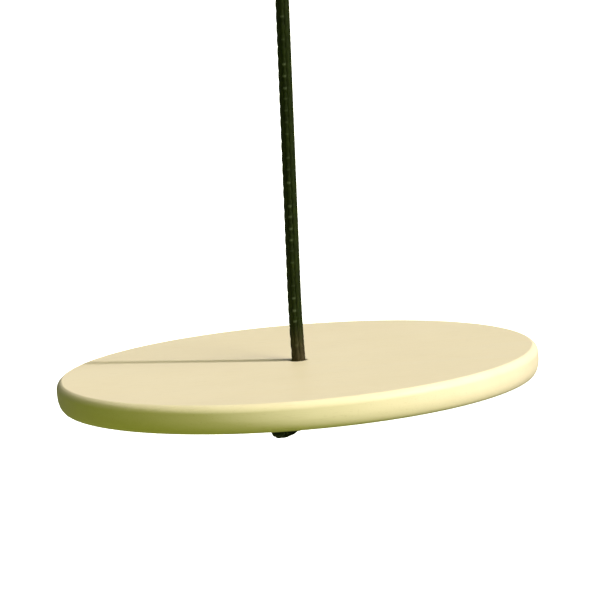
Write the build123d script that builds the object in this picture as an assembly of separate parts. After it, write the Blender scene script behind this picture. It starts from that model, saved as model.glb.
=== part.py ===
"""A disc swing: a round wooden seat on one rope, hung from an eye and jaw swivel.

Millimetres, +Z up. The origin is the middle of the swivel's hanging hole, from which the
whole swing hangs plumb. X is to the sitter's right and Y to the back.
"""

import os
from math import cos, pi, radians, sin, tan

from build123d import *

# ---- rope and seat ----
ROPE_DIAMETER = 9.0
SEAT_DIAMETER = 310.0
SEAT_THICKNESS = 18.0
SEAT_TOP_ROUND = 4.8
EDGE_FALL = 9.5  # height of the long curve that the edge turns under in
EDGE_UNDER = 4.2  # how far in it comes
SEAT_HOLE_DIAMETER = 10.4
HOLE_EDGE_ROUND = 1.0
SEAT_TILT = 2.3  # degrees off level, right side high
SEAT_OFFSET = -1.4  # of the board's middle from the rope, which balances it at that tilt
FLEX_Z = -357.0  # where the rope bends above the seat
FLEX_HEIGHT = 29.0  # from the seat's top to that bend
FLEX_REACH = 24.0  # of the bend's arc, each way
WASHER_DIAMETER = 30.0
WASHER_THICKNESS = 2.0

# ---- stopper knot: a rounded barrel, leaning to the left ----
KNOT_DIAMETER = 25.0
KNOT_LENGTH = 32.0
KNOT_ROUND = 9.0
KNOT_LEAN = 30.0  # degrees
KNOT_CENTRE = (-9.0, 0.0, -32.5)  # in the seat's own frame
TAIL_CENTRE = (-16.5, 10.0, -40.5)  # of the tail's stub, which points to the back
TAIL_STUB = 20.0

# ---- rope eye, thimble and seizings ----
# The rope's middle line, from its sealed tail end, round the thimble and down to the
# straight fall.
EYE_ROUTE = [
    (0.0, 9.3, -147.0),
    (0.0, 9.3, -106.0),
    (0.0, 17.2, -62.2),
    (0.0, 6.0, -50.5),
    (0.0, -10.0, -52.5),
    (0.0, -17.9, -66.6),
    (0.0, 0.0, -106.0),
    (0.0, 0.0, -149.0),
]
TAIL_OFFSET = 9.3
THIMBLE_WALL = 1.5
GROOVE_GAP = 0.1
THIMBLE_LEGS = 0.23  # the share of each lower leg that the thimble leaves bare
SEIZING_WALL = 1.4
SEIZING_LENGTH = 7.0
SEIZING_TOPS = {"upper_seizing": -124.5, "lower_seizing": -135.0}

# ---- straight fall of the rope ----
HEAD_END_Z = -149.0
NECK_END_Z = -179.0

# ---- swivel ----
HANGING_HOLE_DIAMETER = 16.0
HANGER_DIAMETER = 32.0
HANGER_THICKNESS = 9.0
HANGER_EDGE = 0.8
COLLAR_DIAMETER = 16.0
COLLAR_BOTTOM_Z = -21.0
SHANK_DIAMETER = 8.0
SHANK_END_Z = -40.5
THRUST_DIAMETER = 15.0
THRUST_THICKNESS = 1.5
PLAY = 0.1  # end play of the swivel on each side of the jaw
RUNNING_GAP = 0.06  # radial, on the shank and on the clevis pin
TIGHT_GAP = 0.02
JAW_TOP_THICKNESS = 8.0
JAW_INNER_WIDTH = 17.0
JAW_WALL = 5.0
JAW_DEPTH = 18.0
JAW_SHOULDER = 7.0
JAW_EDGE = 0.8
NUT_ACROSS_FLATS = 13.0
NUT_HEIGHT = 6.5
NUT_EDGE = 0.8

# ---- clevis pin and split pin ----
PIN_DIAMETER = 8.0
PIN_Z = -61.5
PIN_HEAD_DIAMETER = 12.0
PIN_HEAD_THICKNESS = 2.5
PIN_TIP = 6.0
PIN_EDGE = 0.6
SPLIT_PIN_DIAMETER = 2.0
SPLIT_PIN_STEM = 13.0
SPLIT_RING_RADIUS = 2.6
SPLIT_LEG = 5.0
SPLIT_LEG_ANGLE = 55.0

rope_radius = ROPE_DIAMETER / 2
jaw_top_z = COLLAR_BOTTOM_Z - THRUST_THICKNESS - PLAY
jaw_inner_z = jaw_top_z - JAW_TOP_THICKNESS
jaw_half_width = JAW_INNER_WIDTH / 2 + JAW_WALL
jaw_end_z = PIN_Z - JAW_DEPTH / 2
nut_top_z = jaw_inner_z - PLAY - THRUST_THICKNESS
washer_bottom_z = -SEAT_THICKNESS - WASHER_THICKNESS

# The seat's own frame has its origin where the rope meets the seat's top face.
seat_place = Location((0, 0, FLEX_Z), (0, -SEAT_TILT, 0)) * Location((0, 0, -FLEX_HEIGHT))


def save(part, name):
    """Write one sub-part to its own STEP file."""
    part.label = name
    export_step(part, f"parts/{name}.step")
    print(f"{name}: {part.volume:.0f} mm3")


def corner_radii(route, share=0.45):
    """The arc at each corner: a share of its shorter run, over the tangent of half the turn."""
    points = [Vector(*point) for point in route]
    runs = [after - before for before, after in zip(points, points[1:])]
    radii = []
    for arriving, leaving in zip(runs, runs[1:]):
        half_turn = radians(arriving.get_angle(leaving)) / 2
        radii.append(share * min(arriving.length, leaving.length) / tan(half_turn))
    return radii


def rounded_path(route, name):
    """Straight runs joined by tangent arcs."""
    radii = corner_radii(route)
    print(f"{name}: arcs of {[round(radius, 1) for radius in radii]} mm")
    return FilletPolyline(*route, radius=radii)


def rope_along(path, name):
    """A plain rope tube, with its volume compared with its section times its length."""
    section = Plane(origin=path @ 0, z_dir=path % 0) * Circle(rope_radius)
    tube = sweep(section, path=path)
    ratio = tube.volume / (pi * rope_radius**2 * path.length)
    print(f"{name}: {path.length:.1f} mm, volume is {ratio:.4f} of section times length")
    return tube


def upright(diameter, top_z, bottom_z):
    """A round bar along Z."""
    middle = Pos(0, 0, (top_z + bottom_z) / 2)
    return middle * Cylinder(diameter / 2, top_z - bottom_z)


def crosswise(diameter, low_x, high_x):
    """A round bar along X through the clevis pin's place."""
    middle = Pos((low_x + high_x) / 2, 0, PIN_Z)
    return middle * Cylinder(diameter / 2, high_x - low_x, rotation=(0, 90, 0))


def ring(diameter, hole_diameter, top_z, bottom_z):
    """A plain washer."""
    return upright(diameter, top_z, bottom_z) - upright(hole_diameter, top_z, bottom_z)


# ---- seat, in its own frame ----
def seat_disc():
    """The round board, turned from its own profile, with a hole just off its middle."""
    radius = SEAT_DIAMETER / 2
    crown = radius - SEAT_TOP_ROUND
    fall_top = EDGE_FALL - SEAT_THICKNESS
    profile = Polyline((radius - EDGE_UNDER, -SEAT_THICKNESS), (0, -SEAT_THICKNESS), (0, 0), (crown, 0))
    profile += CenterArc((crown, -SEAT_TOP_ROUND), SEAT_TOP_ROUND, 0, 90)
    profile += Line((radius, -SEAT_TOP_ROUND), (radius, fall_top))
    profile += EllipticalCenterArc((radius - EDGE_UNDER, fall_top), EDGE_UNDER, EDGE_FALL, 270)
    board = revolve(Plane.XZ * make_face(profile), axis=Axis.Z)
    board = Pos(SEAT_OFFSET, 0, 0) * board - upright(SEAT_HOLE_DIAMETER, 0, -SEAT_THICKNESS)
    hole_edges = board.edges().filter_by(GeomType.CIRCLE)
    hole_edges = hole_edges.filter_by(lambda edge: edge.radius < SEAT_HOLE_DIAMETER)
    return fillet(hole_edges, HOLE_EDGE_ROUND)


def knot_washer():
    """The washer between the knot and the wood."""
    return ring(WASHER_DIAMETER, SEAT_HOLE_DIAMETER, -SEAT_THICKNESS, washer_bottom_z)


def stopper_knot():
    """The knot's outer shape, flat where it bears on the washer, with the tail's stub."""
    barrel = Cylinder(KNOT_DIAMETER / 2, KNOT_LENGTH)
    barrel = fillet(barrel.edges().filter_by(GeomType.CIRCLE), KNOT_ROUND)
    leaning = Pos(*KNOT_CENTRE) * Rot(0, KNOT_LEAN, 0) * barrel
    stub = Pos(*TAIL_CENTRE) * Cylinder(rope_radius, TAIL_STUB, rotation=(90, 0, 0))
    above = Pos(0, 0, washer_bottom_z + KNOT_LENGTH) * Box(*[2 * KNOT_LENGTH] * 3)
    return leaning + stub - above


def rope_in_seat():
    """The rope from the end of its bend, through the hole, to the knot."""
    return upright(ROPE_DIAMETER, FLEX_HEIGHT - FLEX_REACH, washer_bottom_z)


# ---- rope ----
def rope_flex():
    """The gentle bend above the seat: plumb above, square to the seat below."""
    lean = radians(SEAT_TILT)
    corner = Vector(0, 0, FLEX_Z)
    above = corner + Vector(0, 0, FLEX_REACH)
    below = corner + Vector(sin(lean), 0, -cos(lean)) * FLEX_REACH
    print(f"rope_flex: arc of {FLEX_REACH / tan(lean / 2):.0f} mm")
    return rope_along(TangentArc(above, below, tangent=(0, 0, -1)), "rope_flex")


# ---- thimble and seizings ----
def eye_thimble():
    """A half round gutter, bent to a drop shape inside the rope eye."""
    start, *crown, end = EYE_ROUTE[1:-1]
    leg_ends = []
    for low, high in ((start, crown[0]), (end, crown[-1])):
        leg_ends.append(tuple(a + THIMBLE_LEGS * (b - a) for a, b in zip(low, high)))
    path = rounded_path([leg_ends[0], *crown, leg_ends[1]], "eye_thimble")
    groove = rope_radius + GROOVE_GAP
    outside = groove + THIMBLE_WALL
    inner_half = Pos(0, -outside) * Rectangle(4 * outside, 2 * outside)
    gutter = (Circle(outside) - Circle(groove)) & inner_half
    across = Plane(origin=path @ 0, x_dir=(1, 0, 0), z_dir=path % 0)
    return sweep(across * gutter, path=path)


def seizing(top_z):
    """A band of twine round the standing rope and the tail."""
    hole = ROPE_DIAMETER + 2 * GROOVE_GAP
    outside = hole + 2 * SEIZING_WALL
    band = SlotCenterToCenter(TAIL_OFFSET, outside) - SlotCenterToCenter(TAIL_OFFSET, hole)
    place = Location((0, TAIL_OFFSET / 2, top_z), (0, 0, 90))
    return place * extrude(band, -SEIZING_LENGTH)


# ---- swivel ----
def swivel_eye():
    """The hanging eye, its collar and its shank, forged in one."""
    disc = Cylinder(HANGER_DIAMETER / 2, HANGER_THICKNESS, rotation=(90, 0, 0))
    disc = fillet(disc.edges().filter_by(GeomType.CIRCLE), 2 * HANGER_EDGE)
    collar = upright(COLLAR_DIAMETER, -HANGER_DIAMETER / 2 + 2, COLLAR_BOTTOM_Z)
    shank = upright(SHANK_DIAMETER, COLLAR_BOTTOM_Z, SHANK_END_Z)
    hole = Cylinder(HANGING_HOLE_DIAMETER / 2, HANGER_THICKNESS, rotation=(90, 0, 0))
    forging = disc + collar + shank - hole
    hole_edges = forging.edges().filter_by(GeomType.CIRCLE)
    hole_edges = hole_edges.filter_by(lambda edge: abs(edge.radius - HANGING_HOLE_DIAMETER / 2) < 0.01)
    hole_edges = hole_edges.filter_by(lambda edge: abs(edge.center().Z) < 1)
    return chamfer(hole_edges, HANGER_EDGE)


def swivel_jaw():
    """The U shaped jaw that turns on the shank and holds the clevis pin."""
    height = jaw_top_z - jaw_end_z
    block = Pos(0, 0, jaw_end_z + height / 2) * Box(2 * jaw_half_width, JAW_DEPTH, height)
    shoulders = block.edges().filter_by(Axis.Y).sort_by(Axis.Z)[-2:]
    block = fillet(shoulders, JAW_SHOULDER)
    inner_height = jaw_inner_z - jaw_end_z
    gap = Pos(0, 0, jaw_end_z + inner_height / 2) * Box(JAW_INNER_WIDTH, JAW_DEPTH, inner_height)
    jaw = block - gap
    for side in (0, -1):
        jaw = chamfer(jaw.faces().sort_by(Axis.Y)[side].edges(), JAW_EDGE)
    cheek = crosswise(JAW_DEPTH, -jaw_half_width, jaw_half_width)
    upper_height = jaw_top_z - PIN_Z
    upper = Pos(0, 0, PIN_Z + upper_height / 2) * Box(2 * jaw_half_width, JAW_DEPTH, upper_height)
    jaw &= cheek + upper
    jaw -= upright(SHANK_DIAMETER + 2 * RUNNING_GAP, jaw_top_z, jaw_inner_z)
    jaw -= crosswise(PIN_DIAMETER + 2 * RUNNING_GAP, -jaw_half_width, jaw_half_width)
    return jaw


def thrust_washer(top_z):
    """A bronze washer that takes the swing's weight."""
    hole_diameter = SHANK_DIAMETER + 2 * TIGHT_GAP
    return ring(THRUST_DIAMETER, hole_diameter, top_z, top_z - THRUST_THICKNESS)


def lock_nut():
    """The hexagon nut that keeps the jaw on the shank."""
    hexagon = RegularPolygon(NUT_ACROSS_FLATS / 2, 6, major_radius=False)
    nut = Pos(0, 0, nut_top_z) * extrude(hexagon, -NUT_HEIGHT)
    corners = NUT_ACROSS_FLATS / cos(radians(30)) - 0.2
    rounder = upright(corners, nut_top_z, nut_top_z - NUT_HEIGHT)
    rounder = chamfer(rounder.edges().filter_by(GeomType.CIRCLE), NUT_EDGE)
    bore = upright(SHANK_DIAMETER + 2 * TIGHT_GAP, nut_top_z, nut_top_z - NUT_HEIGHT)
    return (nut & rounder) - bore


def clevis_pin():
    """The headed pin through the jaw's cheeks and the thimble, drilled for its split pin."""
    head_x = -jaw_half_width - PIN_HEAD_THICKNESS
    head = crosswise(PIN_HEAD_DIAMETER, head_x, -jaw_half_width)
    head = chamfer(head.edges().sort_by(Axis.X)[0], PIN_EDGE)
    stem = crosswise(PIN_DIAMETER, -jaw_half_width, jaw_half_width + PIN_TIP)
    stem = chamfer(stem.edges().sort_by(Axis.X)[-1], PIN_EDGE)
    drilling_x = jaw_half_width + PIN_TIP / 2
    drilling = Pos(drilling_x, 0, PIN_Z) * Cylinder(SPLIT_PIN_DIAMETER / 2 + GROOVE_GAP, PIN_DIAMETER)
    return head + stem - drilling


def split_pin():
    """A ring head, a straight stem through the drilling and two spread legs."""
    radius = SPLIT_PIN_DIAMETER / 2
    stem_top = SPLIT_PIN_STEM / 2
    stem = Cylinder(radius, SPLIT_PIN_STEM)
    head = Torus(SPLIT_RING_RADIUS, radius, rotation=(0, 90, 0))
    head = Pos(0, 0, stem_top + SPLIT_RING_RADIUS) * head
    pin = stem + head
    for side in (-1, 1):
        leg = Pos(0, 0, -SPLIT_LEG / 2) * Cylinder(radius, SPLIT_LEG)
        pin += Pos(0, 0, -stem_top) * Rot(side * SPLIT_LEG_ANGLE, 0, 0) * leg
    return Pos(jaw_half_width + PIN_TIP / 2, 0, PIN_Z) * pin


os.makedirs("parts", exist_ok=True)

# Hanger: fixed to the tree or beam.
save(swivel_eye(), "swivel_eye")
save(thrust_washer(COLLAR_BOTTOM_Z), "upper_thrust_washer")
save(thrust_washer(nut_top_z + THRUST_THICKNESS), "lower_thrust_washer")
save(lock_nut(), "lock_nut")

# Jaw: spins on the shank.
save(swivel_jaw(), "swivel_jaw")
save(clevis_pin(), "clevis_pin")
save(split_pin(), "split_pin")

# Rope eye: swings on the clevis pin.
save(rope_along(rounded_path(EYE_ROUTE, "rope_eye"), "rope_eye"), "rope_eye")
save(eye_thimble(), "eye_thimble")
for name, top_z in SEIZING_TOPS.items():
    save(seizing(top_z), name)

# Fall of the rope: it bends at the neck, and again above the seat.
save(upright(ROPE_DIAMETER, HEAD_END_Z, NECK_END_Z), "rope_neck")
save(upright(ROPE_DIAMETER, NECK_END_Z, FLEX_Z + FLEX_REACH), "rope_fall")
save(rope_flex(), "rope_flex")

# Seat, tilted under the bend.
for name, piece in {
    "seat_disc": seat_disc(),
    "knot_washer": knot_washer(),
    "rope_in_seat": rope_in_seat(),
    "stopper_knot": stopper_knot(),
}.items():
    save(seat_place * piece, name)
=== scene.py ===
"""Looks of the disc swing: a round wooden seat on one braided rope, with its eye, thimble and swivel."""

import math
import random

import bmesh
import bpy
import numpy as np
from mathutils import Matrix, Vector, noise


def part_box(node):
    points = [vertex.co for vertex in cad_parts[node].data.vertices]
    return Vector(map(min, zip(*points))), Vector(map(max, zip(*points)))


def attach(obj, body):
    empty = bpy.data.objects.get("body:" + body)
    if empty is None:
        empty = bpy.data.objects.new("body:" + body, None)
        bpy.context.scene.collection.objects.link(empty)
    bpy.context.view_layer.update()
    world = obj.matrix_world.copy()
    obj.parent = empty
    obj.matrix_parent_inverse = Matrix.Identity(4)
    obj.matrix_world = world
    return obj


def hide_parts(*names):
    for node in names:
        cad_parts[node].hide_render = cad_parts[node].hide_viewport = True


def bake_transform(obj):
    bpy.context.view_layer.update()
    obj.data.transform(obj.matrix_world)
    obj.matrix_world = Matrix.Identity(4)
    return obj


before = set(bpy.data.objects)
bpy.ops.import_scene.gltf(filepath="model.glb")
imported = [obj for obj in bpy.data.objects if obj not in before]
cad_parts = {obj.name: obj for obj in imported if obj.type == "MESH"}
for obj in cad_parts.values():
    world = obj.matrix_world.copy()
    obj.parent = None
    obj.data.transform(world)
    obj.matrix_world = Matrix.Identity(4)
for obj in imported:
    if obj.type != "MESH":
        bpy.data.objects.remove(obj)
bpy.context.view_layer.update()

MM = 0.001

# ---- the swing's driving sizes, in metres unless a line says otherwise ----
ROPE_RADIUS = 0.0045
RING_STEP = 0.0005  # between the rings of points along the rope
BRAID_COLUMNS = 9  # columns of stitches round the rope
BRAID_STITCH = 0.0075
BRAID_RELIEF = 0.0007
POINTS_PER_COLUMN = 12
GLINT_COLUMN = 2  # the column whose pale flecks are painted highlights, on the side facing the camera
TWINE_RADIUS = 0.0006
TWINE_LAY = 0.0035  # one turn of the twine's own strands
TWINE_RING_STEP = 0.00035
TWINE_POINTS_ROUND = 30
ROPES_APART = 0.0093  # centre to centre, where the seizings bind the eye's two sides
SEAT_RADIUS = 0.155
SEAT_THICKNESS = 0.018
SEAT_POINTS_ROUND = 384
SEAT_TOP_ROUND = 0.0065
SEAT_TOP_DROP = 0.0055
RIM_START = 64  # degrees: the rounding starts at a crisp line, not tangent to the top
RIM_SUPPORT = 0.0004
EDGE_FALL = 0.0095
EDGE_UNDER = 0.0042
HOLE_RADIUS = 0.0052
HOLE_ROUND = 0.001
SEAT_TILT = math.radians(2.3)
SEAT_OFFSET = -0.0014
FLEX_POINT = Vector((0, 0, -0.357))  # where the rope bends above the seat
FLEX_HEIGHT = 0.029
STRAIGHT_START = Vector((0, 0, -0.307))
HEAD_END = -0.149  # height at which the eye's stretch ends and the fall starts
FALL_END = -0.303  # height at which the fall ends and the bend starts
FOOT_LENGTH = 0.057  # from the bend, through the seat, to the knot
PAST_THE_EYE = 0.17  # distance along the rope by which it has left the eye's loop
# The rope is browner round the seat: fading in from this far above the seat's top down to the top, and
# fading out over the last stretch before this far below it.
BROWN_ABOVE_SEAT = 0.027
BROWN_BELOW_TOP = 0.030
BROWN_FADE = 0.012

# The seat's own frame has its origin where the rope meets the seat's top face.
seat_place = (
    Matrix.Translation(FLEX_POINT)
    @ Matrix.Rotation(-SEAT_TILT, 4, "Y")
    @ Matrix.Translation((0, 0, -FLEX_HEIGHT))
)


def in_seat(x, y, z):
    """A point of the seat's own frame, in millimetres, as a place in the shared frame."""
    return seat_place @ (Vector((x, y, z)) * MM)


# ---- camera ----
CAMERA_LENS = 196  # millimetres
CAMERA_SENSOR = 36
CAMERA_DISTANCE = 2.1
CAMERA_ELEVATION = math.radians(8.25)
CAMERA_ROLL = math.radians(4.65)
AIM_RIGHT = 0.0008
AIM_UP = 0.0385

up = Vector((0, math.sin(CAMERA_ELEVATION), math.cos(CAMERA_ELEVATION)))
forward = Vector((0, math.cos(CAMERA_ELEVATION), -math.sin(CAMERA_ELEVATION)))
level = Vector((1, 0, 0))
camera_right = math.cos(CAMERA_ROLL) * level - math.sin(CAMERA_ROLL) * up
camera_up = math.sin(CAMERA_ROLL) * level + math.cos(CAMERA_ROLL) * up
camera_place = Matrix.Translation(
    AIM_RIGHT * camera_right + AIM_UP * camera_up - CAMERA_DISTANCE * forward
)
camera_turn = Matrix((camera_right, camera_up, -forward)).transposed().to_4x4()
camera = bpy.data.objects.new("camera", bpy.data.cameras.new("camera"))
camera.data.lens = CAMERA_LENS
camera.data.sensor_width = CAMERA_SENSOR
camera.matrix_world = seat_place @ camera_place @ camera_turn
bpy.context.scene.collection.objects.link(camera)
bpy.context.scene.camera = camera


# ---- making pieces ----
def link(piece):
    """Puts a piece in the scene."""
    bpy.context.scene.collection.objects.link(piece)
    return piece


def mesh_piece(name, points, faces, material):
    """A smooth shaded mesh piece with its material."""
    mesh = bpy.data.meshes.new(name)
    mesh.from_pydata([tuple(point) for point in points], [], faces)
    mesh.validate()
    mesh.shade_smooth()
    mesh.materials.append(material)
    return link(bpy.data.objects.new(name, mesh))


# ---- materials ----
class Surface:
    """A procedural material: its Principled shader, with short calls for the nodes that feed it."""

    def __init__(self, name, **constants):
        self.material = bpy.data.materials.new(name)
        self.material.use_nodes = True
        self.nodes = self.material.node_tree.nodes
        self.links = self.material.node_tree.links
        self.shader = self.nodes["Principled BSDF"]
        for socket, value in constants.items():
            self.shader.inputs[socket.replace("_", " ")].default_value = value

    def node(self, kind, inputs=None, **settings):
        """A node with its settings, and its inputs set or linked."""
        made = self.nodes.new(kind)
        for key, value in settings.items():
            setattr(made, key, value)
        for key, value in (inputs or {}).items():
            if isinstance(value, bpy.types.NodeSocket):
                self.links.new(value, made.inputs[key])
            else:
                made.inputs[key].default_value = value
        return made

    def place(self, scale=(1, 1, 1)):
        """The object's own coordinates, scaled."""
        coordinates = self.node("ShaderNodeTexCoord").outputs["Object"]
        return self.node("ShaderNodeMapping", {"Vector": coordinates, "Scale": scale}).outputs["Vector"]

    def stored(self, name):
        """A vector stored on the mesh's points."""
        return self.node("ShaderNodeAttribute", attribute_name=name).outputs["Vector"]

    def noise(self, vector, scale=1.0, detail=3.0, roughness=0.5):
        """Cloudy noise from 0 to 1."""
        inputs = {"Vector": vector, "Scale": scale, "Detail": detail, "Roughness": roughness}
        return self.node("ShaderNodeTexNoise", inputs).outputs["Fac"]

    def ramp(self, factor, *stops):
        """A colour ramp of (position, colour) stops."""
        made = self.node("ShaderNodeValToRGB", {"Fac": factor})
        elements = made.color_ramp.elements
        while len(elements) < len(stops):
            elements.new(0.5)
        for element, (position, colour) in zip(elements, stops):
            element.position = position
            element.color = (*colour, 1)
        return made.outputs["Color"]

    def spread(self, factor, low, high, start=0.3, end=0.7):
        """The factor, from start to end, spread from low to high."""
        inputs = {"Value": factor, "From Min": start, "From Max": end, "To Min": low, "To Max": high}
        return self.node("ShaderNodeMapRange", inputs).outputs["Result"]

    def mix(self, factor, first, second, blend_type="MIX"):
        """Two colours mixed."""
        made = self.node("ShaderNodeMix", data_type="RGBA", blend_type=blend_type)
        for socket, value in (("Factor_Float", factor), ("A_Color", first), ("B_Color", second)):
            target = next(item for item in made.inputs if item.identifier == socket)
            if isinstance(value, bpy.types.NodeSocket):
                self.links.new(value, target)
            elif socket == "Factor_Float":
                target.default_value = value
            else:
                target.default_value = (*value, 1)
        return next(item for item in made.outputs if item.identifier == "Result_Color")

    def bump(self, height, distance, strength, under=None):
        """A normal roughened by a height, over another normal where one is given."""
        inputs = {"Height": height, "Distance": distance, "Strength": strength}
        if under is not None:
            inputs["Normal"] = under
        return self.node("ShaderNodeBump", inputs).outputs["Normal"]

    def finish(self, colour=None, roughness=None, normal=None):
        """Feeds the shader and gives the material."""
        feeds = {"Base Color": colour, "Roughness": roughness, "Normal": normal}
        for socket, output in feeds.items():
            if output is not None:
                self.links.new(output, self.shader.inputs[socket])
        return self.material


def rope_material():
    """Dark olive green fibre, browner and lighter round the seat, with pale flecks on one column that are
    painted highlights.
    """
    surface = Surface(
        "green_rope_fibre",
        Specular_IOR_Level=0.08,
        Sheen_Weight=0.01,
        Sheen_Roughness=0.45,
    )
    filaments = surface.noise(surface.stored("fibre"), detail=4.0, roughness=0.6)
    patches = surface.noise(surface.place(), scale=90.0, detail=2.0)
    green = surface.ramp(
        filaments,
        (0.30, (0.005, 0.009, 0.001)),
        (0.50, (0.011, 0.018, 0.0008)),
        (0.72, (0.027, 0.039, 0.003)),
    )
    brown = surface.ramp(
        filaments,
        (0.30, (0.024, 0.018, 0.007)),
        (0.50, (0.046, 0.036, 0.014)),
        (0.72, (0.090, 0.074, 0.034)),
    )
    # The stored marks: X is how much browner the rope is round the seat, Y the pale flecks, which are
    # painted highlights.
    marks = surface.node("ShaderNodeSeparateXYZ", {"Vector": surface.stored("colour_marks")}).outputs
    with_glints = surface.mix(surface.spread(marks["Y"], 0.0, 0.9, 0.15, 0.75), green, (0.072, 0.090, 0.046))
    colour = surface.mix(marks["X"], with_glints, brown)
    shade = surface.ramp(patches, (0.35, (0.78, 0.78, 0.78)), (0.65, (1.0, 1.0, 1.0)))
    colour = surface.mix(1.0, colour, shade, "MULTIPLY")
    roughness = surface.spread(filaments, 0.50, 0.74)
    return surface.finish(colour, roughness, surface.bump(filaments, distance=0.00025, strength=0.8))


def twine_material():
    """Tarred whipping twine."""
    surface = Surface("tarred_twine_fibre", Specular_IOR_Level=0.45)
    filaments = surface.noise(surface.stored("fibre"), roughness=0.6)
    colour = surface.ramp(
        filaments,
        (0.3, (0.010, 0.008, 0.005)),
        (0.7, (0.045, 0.036, 0.024)),
    )
    roughness = surface.spread(filaments, 0.38, 0.62)
    return surface.finish(colour, roughness, surface.bump(filaments, distance=0.0001, strength=0.7))


def sealed_material():
    """Rope fibre melted into a hard cap."""
    surface = Surface("melted_rope_end", Specular_IOR_Level=0.5)
    lumps = surface.noise(surface.place(), scale=700.0)
    colour = surface.ramp(
        lumps,
        (0.3, (0.008, 0.009, 0.004)),
        (0.7, (0.028, 0.026, 0.012)),
    )
    roughness = surface.spread(lumps, 0.22, 0.48)
    return surface.finish(colour, roughness, surface.bump(lumps, distance=0.0003, strength=0.8))


def wood_material():
    """Pale, smooth oiled hardwood with a faint straight grain."""
    surface = Surface(
        "pale_oiled_wood",
        Specular_IOR_Level=0.12,
        Coat_Weight=0.03,
        Coat_Roughness=0.32,
    )
    warp = surface.noise(surface.place((1.6, 5.0, 5.0)), detail=2.0)
    shift = surface.node("ShaderNodeCombineXYZ", {"Y": surface.spread(warp, -5.0, 5.0, 0.0, 1.0)})
    straight_and_shift = {0: surface.place((5.0, 85.0, 85.0)), 1: shift.outputs["Vector"]}
    bent = surface.node("ShaderNodeVectorMath", straight_and_shift, operation="ADD")
    rings = surface.noise(bent.outputs["Vector"], roughness=0.55)
    figure = surface.ramp(
        rings,
        (0.25, (0.790, 0.690, 0.440)),
        (0.50, (0.802, 0.704, 0.457)),
        (0.76, (0.810, 0.714, 0.470)),
    )
    mottle = surface.noise(surface.place(), scale=14.0)
    cast = surface.ramp(mottle, (0.35, (0.975, 0.970, 0.950)), (0.65, (1.0, 1.0, 1.0)))
    colour = surface.mix(1.0, figure, cast, "MULTIPLY")
    pores = surface.noise(surface.place((55.0, 1500.0, 1500.0)), detail=2.0, roughness=0.6)
    dark_pores = surface.ramp(pores, (0.24, (0.80, 0.76, 0.68)), (0.40, (1.0, 1.0, 1.0)))
    colour = surface.mix(0.55, colour, surface.mix(1.0, colour, dark_pores, "MULTIPLY"))
    roughness = surface.spread(rings, 0.36, 0.50)
    grain = surface.bump(pores, distance=0.00006, strength=0.5)
    normal = surface.bump(rings, distance=0.00008, strength=0.35, under=grain)
    return surface.finish(colour, roughness, normal)


def galvanised_material():
    """Hot dip galvanised steel, with soft spangles and dull patches."""
    surface = Surface("galvanised_steel_surface", Metallic=1.0)
    cells = surface.node("ShaderNodeTexVoronoi", {"Vector": surface.place(), "Scale": 420.0}, feature="F1")
    spangle = surface.node("ShaderNodeSeparateColor", {"Color": cells.outputs["Color"]}).outputs[0]
    dull = surface.noise(surface.place(), scale=160.0, detail=4.0, roughness=0.6)
    bright = surface.ramp(
        spangle,
        (0.0, (0.46, 0.48, 0.50)),
        (1.0, (0.66, 0.67, 0.68)),
    )
    stain = surface.ramp(dull, (0.38, (0.80, 0.80, 0.79)), (0.62, (1.0, 1.0, 1.0)))
    colour = surface.mix(1.0, bright, stain, "MULTIPLY")
    roughness = surface.spread(dull, 0.34, 0.58)
    small = surface.noise(surface.place(), scale=1400.0, detail=2.0)
    pitted = surface.bump(small, distance=0.00005, strength=0.5)
    normal = surface.bump(dull, distance=0.00025, strength=0.5, under=pitted)
    return surface.finish(colour, roughness, normal)


def zinc_material():
    """Bright zinc plate, finely turned and lightly handled."""
    surface = Surface("zinc_plate_surface", Metallic=1.0, Anisotropic=0.3)
    lines = surface.noise(surface.place((2600.0, 240.0, 240.0)), detail=2.0)
    tint = surface.noise(surface.place(), scale=230.0)
    colour = surface.ramp(
        tint,
        (0.30, (0.62, 0.64, 0.66)),
        (0.55, (0.72, 0.71, 0.69)),
        (0.75, (0.70, 0.68, 0.60)),
    )
    roughness = surface.spread(lines, 0.20, 0.38)
    return surface.finish(colour, roughness, surface.bump(lines, distance=0.00003, strength=0.5))


def bronze_material():
    """Plain bearing bronze, browned where it isn't rubbed."""
    surface = Surface("bearing_bronze_surface", Metallic=1.0)
    tarnish = surface.noise(surface.place(), scale=380.0, detail=4.0, roughness=0.6)
    colour = surface.ramp(
        tarnish,
        (0.35, (0.30, 0.19, 0.09)),
        (0.55, (0.52, 0.36, 0.17)),
        (0.75, (0.66, 0.48, 0.25)),
    )
    roughness = surface.spread(tarnish, 0.52, 0.28)
    return surface.finish(colour, roughness, surface.bump(tarnish, distance=0.00008, strength=0.5))


rope_fibre = rope_material()
twine_fibre = twine_material()
sealed_fibre = sealed_material()
wood = wood_material()
galvanised = galvanised_material()
zinc = zinc_material()
bronze = bronze_material()

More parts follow.
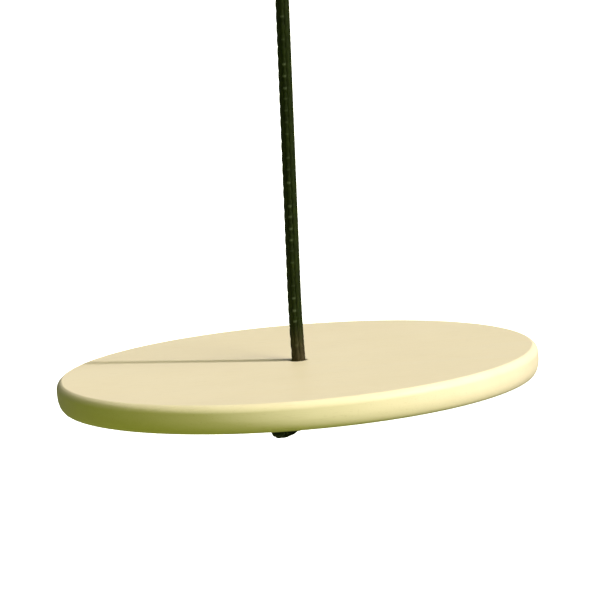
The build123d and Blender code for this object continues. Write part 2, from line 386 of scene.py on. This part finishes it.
# ---- rope route: one line from the sealed tail of the eye to the sealed tail of the knot ----
# The eye's points are millimetres of the shared frame, the knot's are millimetres of the seat's own frame.
eye_route = [
    (0, 9.3, -147),
    (0, 9.3, -106),
    (0, 17.2, -62.2),
    (0, 6, -50.5),
    (0, -10, -52.5),
    (0, -17.9, -66.6),
    (0, 0, -106),
    (0, 0, -149),
]
knot_route = [
    (0, 0, -24),
    (0, -1, -41),
    (-7.5, -4.5, -41.5),
    (-14.5, -6, -35.5),
    (-17, -3.5, -28),
    (-11.5, 2, -24),
    (-4, 6.5, -26),
    (-1.5, 9, -34),
    (-4.5, 6.5, -43),
    (-11, 1, -45.6),
    (-17.5, -4.5, -45),
    (-16.5, -13, -42),
    (-10.5, -14.5, -36),
    (-6.5, -9, -30.5),
    (-8, -0.5, -31.5),
    (-12.5, 5.5, -35.5),
    (-16.5, 11, -39.5),
    (-17.5, 18, -43),
]
rope_route = [Vector(point) * MM for point in eye_route]
rope_route += [STRAIGHT_START, FLEX_POINT]
rope_route += [in_seat(*point) for point in knot_route]


def smooth_line(points):
    """The points of a smooth line through a route's control points, read from its own spline."""
    curve = bpy.data.curves.new("route", "CURVE")
    curve.dimensions = "3D"
    spline = curve.splines.new("NURBS")
    spline.points.add(len(points) - 1)
    for target, point in zip(spline.points, points):
        target.co = (*point, 1)
    spline.use_endpoint_u = True
    spline.order_u = 3
    spline.resolution_u = 24
    route = link(bpy.data.objects.new("route", curve))
    mesh = bpy.data.meshes.new_from_object(route)
    line = np.array([vertex.co for vertex in mesh.vertices])
    bpy.data.objects.remove(route)
    bpy.data.curves.remove(curve)
    bpy.data.meshes.remove(mesh)
    return line


def even(line, step):
    """The line's points again, evenly spaced, and each one's distance along it."""
    runs = np.linalg.norm(np.diff(line, axis=0), axis=1)
    reach = np.concatenate([[0], np.cumsum(runs)])
    along = np.linspace(0, reach[-1], int(reach[-1] / step) + 1)
    points = np.stack([np.interp(along, reach, line[:, axis]) for axis in range(3)], axis=1)
    return points, along


def turning_frames(line, side):
    """Two directions square to the line at each point, carried along it without twist."""
    tangents = np.gradient(line, axis=0)
    tangents /= np.linalg.norm(tangents, axis=1, keepdims=True)
    first = np.array(side, float)
    firsts = []
    for tangent in tangents:
        first = first - tangent * (first @ tangent)
        first = first / np.linalg.norm(first)
        firsts.append(first)
    firsts = np.array(firsts)
    return firsts, np.cross(tangents, firsts)


def grid_faces(rows, columns):
    """The faces of a closed tube of rings, with both ends capped."""
    faces = []
    for row in range(rows - 1):
        for column in range(columns):
            beside = (column + 1) % columns
            here, there = row * columns, (row + 1) * columns
            faces.append((here + column, here + beside, there + beside, there + column))
    faces.append(tuple(reversed(range(columns))))
    faces.append(tuple((rows - 1) * columns + column for column in range(columns)))
    return faces


def store(piece, name, values):
    """Stores a vector on each of the piece's points."""
    attribute = piece.data.attributes.new(name, "FLOAT_VECTOR", "POINT")
    attribute.data.foreach_set("vector", np.ascontiguousarray(values, dtype=np.float32).ravel())


def tube_points(line, frames, reach, angle):
    """The points of a tube along a line: one ring at each of its points, as far out as reach says."""
    firsts, seconds = frames
    spokes = firsts[:, None] * np.cos(angle)[..., None] + seconds[:, None] * np.sin(angle)[..., None]
    return (line[:, None] + reach[..., None] * spokes).reshape(-1, 3)


def stitch_chance(count, column):
    """A number from 0 to 1 for each stitch, which looks random and is the same on every run."""
    return np.mod(np.sin(count * 12.9898 + column * 78.233) * 43758.5453, 1)


def braided_rope(name, line, along, frames, colour_marks):
    """A solid braid rope along a line: columns of long stitches, each rising from under the one before.

    Widths and places across a column are shares of the column, and places along a stitch, its part,
    are shares of the stitch.
    """
    points_round = BRAID_COLUMNS * POINTS_PER_COLUMN
    turn = np.linspace(0, BRAID_COLUMNS, points_round, endpoint=False)[None, :]
    length = along[:, None] / BRAID_STITCH
    column = np.floor(turn)
    stitch = length + column * 4 / BRAID_COLUMNS
    count = np.floor(stitch)
    part = stitch - count
    slant = 0.30 * (part - 0.5)
    across = np.abs(turn - column - 0.5 - slant * np.sin(np.pi * part))
    rise = np.sin(np.pi * part) ** 0.55
    half_width = 0.30 + 0.22 * rise
    crown = np.sqrt(np.clip(1 - (across / half_width) ** 2, 0, 1))
    yarns = 0.05 * np.cos((turn - column) * 5 * math.tau + 2.0 * part)
    height = BRAID_RELIEF * (crown * (0.45 + 0.55 * rise) + yarns * crown)
    reach = ROPE_RADIUS - BRAID_RELIEF * 1.02 + height
    points = tube_points(line, frames, reach, math.tau * turn / BRAID_COLUMNS)
    piece = mesh_piece(name, points, grid_faces(len(line), points_round), rope_fibre)
    chance = stitch_chance(count, column)
    # Pale flecks on the stitch crowns of one column: painted highlights.
    fleck = np.clip(1.2 - np.abs(part - 0.35 - 0.3 * chance) / 0.14, 0, 1)
    painted_glint = (column == GLINT_COLUMN) * fleck * np.clip(1.5 * chance - 0.2, 0, 1)
    fibre = (along[:, None] * 260, (turn - column) * 11 + 2 * part, chance * 40)
    # Kept on each point: how much browner the rope is near the seat, the painted highlight flecks, and the
    # stitch's height.
    marks = (colour_marks[:, None], painted_glint * crown, height / BRAID_RELIEF)
    store(piece, "fibre", np.stack(np.broadcast_arrays(*fibre), axis=-1))
    store(piece, "colour_marks", np.stack(np.broadcast_arrays(*marks), axis=-1))
    return piece


def laid_twine(name, line, along, frames):
    """Three strand twine along a line: a section of three lobes, turned once in each lay."""
    strand = TWINE_RADIUS / 2
    wide = strand / math.cos(math.atan(math.tau * TWINE_RADIUS / TWINE_LAY))
    spread = np.linspace(0, math.tau, TWINE_POINTS_ROUND, endpoint=False)[None, :]
    angle = spread + math.tau * along[:, None] / TWINE_LAY
    lobe = np.mod(spread, math.tau / 3) - math.tau / 6
    reach = strand * (np.cos(lobe) + np.sqrt(1 - (np.sin(lobe) * 0.98) ** 2))
    reach = np.broadcast_to(reach + (wide - strand) * np.abs(lobe), angle.shape)
    points = tube_points(line, frames, reach, angle)
    piece = mesh_piece(name, points, grid_faces(len(line), TWINE_POINTS_ROUND), twine_fibre)
    fibre = (along[:, None] * 1500, spread * 4, np.zeros(angle.shape))
    store(piece, "fibre", np.stack(np.broadcast_arrays(*fibre), axis=-1))
    return piece


def sealed_end(name, tip, direction, radius, seed):
    """The hard lumpy cap of a melted rope end."""
    rounds, rings = 28, 12
    away = Vector(direction).normalized()
    side = away.orthogonal().normalized()
    across = away.cross(side)
    points = []
    for ring in range(rings):
        rise = ring / (rings - 1)
        reach = radius * (1.03 * math.cos(rise * math.pi / 2) ** 0.5 if ring < rings - 1 else 0)
        height = radius * (rise - 0.55)
        for step in range(rounds):
            turn = math.tau * step / rounds
            spoke = side * math.cos(turn) + across * math.sin(turn)
            lump = 1 + 0.10 * noise.noise(spoke * 1.7 + Vector((seed, rise * 2, 0)))
            points.append(Vector(tip) + spoke * reach * lump + away * height * (0.9 + 0.1 * lump))
    faces = []
    for ring in range(rings - 1):
        for step in range(rounds):
            beside = (step + 1) % rounds
            low, high = ring * rounds, (ring + 1) * rounds
            faces.append((low + step, low + beside, high + beside, high + step))
    faces.append(tuple(reversed(range(rounds))))
    piece = mesh_piece(name, points, faces, sealed_fibre)
    kept = bmesh.new()
    kept.from_mesh(piece.data)
    bmesh.ops.remove_doubles(kept, verts=kept.verts, dist=0.00002)
    bmesh.ops.recalc_face_normals(kept, faces=kept.faces)
    kept.to_mesh(piece.data)
    kept.free()
    return piece


# ---- the rope, cut where it passes from one body to the next ----
rope_line, rope_along = even(smooth_line(rope_route), RING_STEP)
rope_frames = turning_frames(rope_line, (1, 0, 0))
below_eye = int(np.argmax(rope_along > PAST_THE_EYE))


def index_at(height):
    """The index of the line's point that is nearest to a height, on the straight rope below the eye."""
    below = rope_line[below_eye:]
    aside = np.abs(below[:, 0])
    return below_eye + int(np.argmin(np.abs(below[:, 2] - height) + 0.1 * aside))


head_end = index_at(HEAD_END)
fall_end = index_at(FALL_END)
corner = index_at(FLEX_POINT.z)
seat_end = int(np.argmax(rope_along > rope_along[corner] + FOOT_LENGTH))
above_seat = rope_along[corner] + FLEX_HEIGHT - rope_along
# How much browner the rope is at each point: full from the seat's top down through the board, fading out
# above and below.
rope_browning = np.clip(1 - above_seat / BROWN_ABOVE_SEAT, 0, 1)
rope_browning = rope_browning * np.clip((above_seat + BROWN_BELOW_TOP) / BROWN_FADE, 0, 1)
rope_browning = rope_browning * rope_browning * (3 - 2 * rope_browning)


def rope_piece(name, start, end):
    """One stretch of the rope."""
    part = slice(start, end + 1)
    frames = [directions[part] for directions in rope_frames]
    return braided_rope(name, rope_line[part], rope_along[part], frames, rope_browning[part])


eye = rope_piece("rope_eye_braid", 0, head_end)
fall = rope_piece("rope_fall_braid", head_end, fall_end)
bend = rope_piece("rope_bend_braid", fall_end, corner)
foot = rope_piece("rope_foot_braid", corner, seat_end)
knot = rope_piece("stopper_knot_braid", seat_end, len(rope_line) - 1)
eye_tail = sealed_end("eye_tail_seal", rope_line[0], rope_line[0] - rope_line[3], ROPE_RADIUS, seed=1.0)
knot_tail = sealed_end("knot_tail_seal", rope_line[-1], rope_line[-1] - rope_line[-4], ROPE_RADIUS, seed=4.0)


# ---- seizings: turns of twine round both ropes, and crossing turns between them ----
def seizing(name, top, turns, crossings, seed):
    """Round turns of twine, closed by crossing turns over them."""
    rng = random.Random(seed)
    round_steps, crossing_steps = 20, 12
    unevenness, height_unevenness = 0.00006, 0.00004
    reach = ROPE_RADIUS + TWINE_RADIUS * 0.85
    pitch = 2 * TWINE_RADIUS * 1.04
    start = top - TWINE_RADIUS * 1.6
    route = []
    for step in range(turns * round_steps + 1):
        angle = math.tau * step / round_steps
        push = reach + rng.uniform(-1, 1) * unevenness
        middle = ROPES_APART if math.sin(angle) >= 0 else 0
        height = start - pitch * step / round_steps + rng.uniform(-1, 1) * height_unevenness
        route.append((push * math.cos(angle), middle + push * math.sin(angle), height))
    bottom = start - pitch * turns
    tall = (top - bottom) / 2 + TWINE_RADIUS * 0.4
    wide = reach + 2 * TWINE_RADIUS * 0.92
    for step in range(1, crossings * crossing_steps + 1):
        angle = -math.tau * step / crossing_steps
        across = math.copysign(abs(math.cos(angle)) ** 0.45, math.cos(angle)) * wide
        rise = math.copysign(abs(math.sin(angle)) ** 0.7, math.sin(angle)) * tall
        aside = ROPES_APART / 2 + (step / crossing_steps - crossings / 2) * 2 * TWINE_RADIUS
        route.append((across, aside, (top + bottom) / 2 + rise))
    line, along = even(smooth_line(route), TWINE_RING_STEP)
    return laid_twine(name, line, along, turning_frames(line, (0, 0, 1)))


upper_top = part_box("upper_seizing")[1].z
lower_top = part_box("lower_seizing")[1].z
upper_turns = seizing("upper_seizing_turns", upper_top, turns=5, crossings=2, seed=3)
lower_turns = seizing("lower_seizing_turns", lower_top, turns=5, crossings=2, seed=8)

for piece, node in (
    (eye, "rope_eye"),
    (upper_turns, "upper_seizing"),
    (lower_turns, "lower_seizing"),
):
    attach(piece, "rope_head")
    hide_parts(node)
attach(eye_tail, "rope_head")
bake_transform(fall)
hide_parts("rope_neck", "rope_fall")
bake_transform(bend)
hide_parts("rope_flex")
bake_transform(foot)
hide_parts("rope_flex", "rope_in_seat")
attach(knot, "seat")
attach(knot_tail, "seat")
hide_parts("stopper_knot")


# ---- seat ----
def corner_curve(out, high, wide, tall, start, end):
    """An arc of an ellipse in the board's profile, from its centre, half axes, and ends in degrees."""
    turns = np.radians(np.linspace(start, end, 15))
    return [(out + wide * math.cos(turn), high + tall * math.sin(turn)) for turn in turns]


def seat_board():
    """The round board, revolved from its own profile: soft edges, and a hole just off its middle."""
    hole = HOLE_RADIUS + HOLE_ROUND
    shares = (0.1, 0.25, 0.5, 0.75, 0.9)
    profile = corner_curve(hole, -HOLE_ROUND, HOLE_ROUND, HOLE_ROUND, 180, 90)
    profile += [(SEAT_RADIUS * share, 0) for share in shares]
    rim = math.radians(RIM_START)
    profile += [(SEAT_RADIUS - SEAT_TOP_ROUND * (1 - math.cos(rim)) - RIM_SUPPORT, 0)]
    top_out, top_high = SEAT_RADIUS - SEAT_TOP_ROUND, -SEAT_TOP_DROP * math.sin(rim)
    profile += corner_curve(top_out, top_high, SEAT_TOP_ROUND, SEAT_TOP_DROP, RIM_START, 0)
    under_out, under_high = SEAT_RADIUS - EDGE_UNDER, EDGE_FALL - SEAT_THICKNESS
    profile += corner_curve(under_out, under_high, EDGE_UNDER, EDGE_FALL, 0, -90)
    profile += [(SEAT_RADIUS * share, -SEAT_THICKNESS) for share in reversed(shares)]
    profile += corner_curve(hole, HOLE_ROUND - SEAT_THICKNESS, HOLE_ROUND, HOLE_ROUND, 270, 180)
    points, faces = [], []
    for step in range(SEAT_POINTS_ROUND):
        turn = math.tau * step / SEAT_POINTS_ROUND
        for out, high in profile:
            # The hole stays on the rope, and the board outside it moves aside.
            aside = SEAT_OFFSET * min(1, max(0, out / HOLE_RADIUS - 1.2))
            points.append(seat_place @ Vector((aside + out * math.cos(turn), out * math.sin(turn), high)))
    count = len(profile)
    for step in range(SEAT_POINTS_ROUND):
        here, there = step * count, (step + 1) % SEAT_POINTS_ROUND * count
        for row in range(count):
            after = (row + 1) % count
            faces.append((here + row, there + row, there + after, here + after))
    board = mesh_piece("seat_board", points, faces, wood)
    fixed = bmesh.new()
    fixed.from_mesh(board.data)
    bmesh.ops.recalc_face_normals(fixed, faces=fixed.faces)
    fixed.to_mesh(board.data)
    fixed.free()
    return board


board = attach(seat_board(), "seat")
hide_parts("seat_disc")

# ---- metal parts keep their own shapes ----
for node, material in {
    "swivel_eye": galvanised,
    "swivel_jaw": galvanised,
    "eye_thimble": galvanised,
    "lock_nut": zinc,
    "clevis_pin": zinc,
    "split_pin": zinc,
    "knot_washer": zinc,
    "upper_thrust_washer": bronze,
    "lower_thrust_washer": bronze,
}.items():
    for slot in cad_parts[node].material_slots:
        slot.material = material

# ---- floor and light ----
SUN_ELEVATION = math.radians(38)
SUN_TOWARDS_VIEWER = math.radians(22.5)
FLOOR_Z = -4.2
FLOOR_RADIUS = 20
WALL_TOP = 25
WALL_SIDES = 128


def floor_material():
    """Plain pale floor and wall, white at every angle."""
    surface = Surface(
        "pale_floor",
        Specular_IOR_Level=0.1,
        Emission_Color=(1.0, 1.0, 1.0, 1),
        Emission_Strength=0.98,
    )
    cloud = surface.noise(surface.place(), scale=0.6, detail=2.0)
    colour = surface.ramp(cloud, (0.3, (0.960, 0.960, 0.955)), (0.7, (0.975, 0.975, 0.972)))
    return surface.finish(colour, surface.spread(cloud, 0.80, 0.88))


def reflector_material():
    """A soft glow for the metal to reflect, dim below and brighter above."""
    surface = Surface(
        "studio_reflector",
        Base_Color=(0, 0, 0, 1),
        Specular_IOR_Level=0.0,
        Emission_Strength=1.0,
    )
    height = surface.node("ShaderNodeSeparateXYZ", {"Vector": surface.place()}).outputs["Z"]
    glow = surface.ramp(
        surface.spread(height, 0.0, 1.0, -4.0, 12.0),
        (0.0, (0.20, 0.20, 0.17)),
        (0.25, (0.34, 0.34, 0.32)),
        (1.0, (0.62, 0.63, 0.64)),
    )
    surface.links.new(glow, surface.shader.inputs["Emission Color"])
    return surface.finish()


def round_stage(name, material, seen):
    """A wide round floor far below the swing, with a wall round it.

    It shades nothing and lights no matt surface. Either the camera sees it or reflections do.
    """
    turns = np.linspace(0, math.tau, WALL_SIDES, endpoint=False)
    ring = [(FLOOR_RADIUS * math.cos(turn), FLOOR_RADIUS * math.sin(turn)) for turn in turns]
    points = [(x, y, FLOOR_Z) for x, y in ring] + [(x, y, WALL_TOP) for x, y in ring]
    faces = [tuple(range(WALL_SIDES))]
    for here in range(WALL_SIDES):
        beside = (here + 1) % WALL_SIDES
        faces.append((here, beside, WALL_SIDES + beside, WALL_SIDES + here))
    mesh = bpy.data.meshes.new(name)
    mesh.from_pydata(points, [], faces)
    mesh.materials.append(material)
    shell = link(bpy.data.objects.new(name, mesh))
    shell.visible_camera = seen
    shell.visible_glossy = not seen
    shell.visible_diffuse = False
    shell.visible_shadow = False


def light(name, kind, energy, colour, place, towards, **settings):
    """A light that shines towards a direction."""
    data = bpy.data.lights.new(name, kind)
    data.energy = energy
    data.color = colour
    for key, value in settings.items():
        setattr(data, key, value)
    lamp = link(bpy.data.objects.new(name, data))
    lamp.location = place
    lamp.rotation_mode = "QUATERNION"
    lamp.rotation_quaternion = Vector(towards).to_track_quat("-Z", "Y")
    return lamp


round_stage("floor", floor_material(), seen=True)
round_stage("reflector", reflector_material(), seen=False)
to_sun = Vector(
    (
        math.cos(SUN_TOWARDS_VIEWER) * math.cos(SUN_ELEVATION),
        -math.sin(SUN_TOWARDS_VIEWER) * math.cos(SUN_ELEVATION),
        math.sin(SUN_ELEVATION),
    )
)
light("key", "SUN", 2.6, (1.0, 0.985, 1.2), to_sun * 3, -to_sun, angle=math.radians(3))
to_haze = Vector((0.62, -0.46, 0.64))
light("haze", "SUN", 2.95, (1.0, 0.965, 0.80), to_haze * 4, -to_haze, angle=math.radians(42))
# Both fills are green: they are the light that sunlit grass throws back at the swing.
to_front = Vector((-0.34, -0.94, 0.03))
light("front_fill", "SUN", 0.65, (0.75, 1.0, 0.05), to_front * 3, -to_front, angle=math.radians(50))
below = light("ground_fill", "AREA", 1.2, (0.80, 1.0, 0.08), (0, 0, -0.80), (0, 0, 1), size=1.4)
below.visible_camera = False
world = bpy.data.worlds.new("studio")
world.use_nodes = True
background = world.node_tree.nodes["Background"].inputs
background["Color"].default_value = (1.0, 1.0, 0.70, 1)
background["Strength"].default_value = 0.05
bpy.context.scene.world = world
bpy.context.scene.view_settings.view_transform = "Standard"
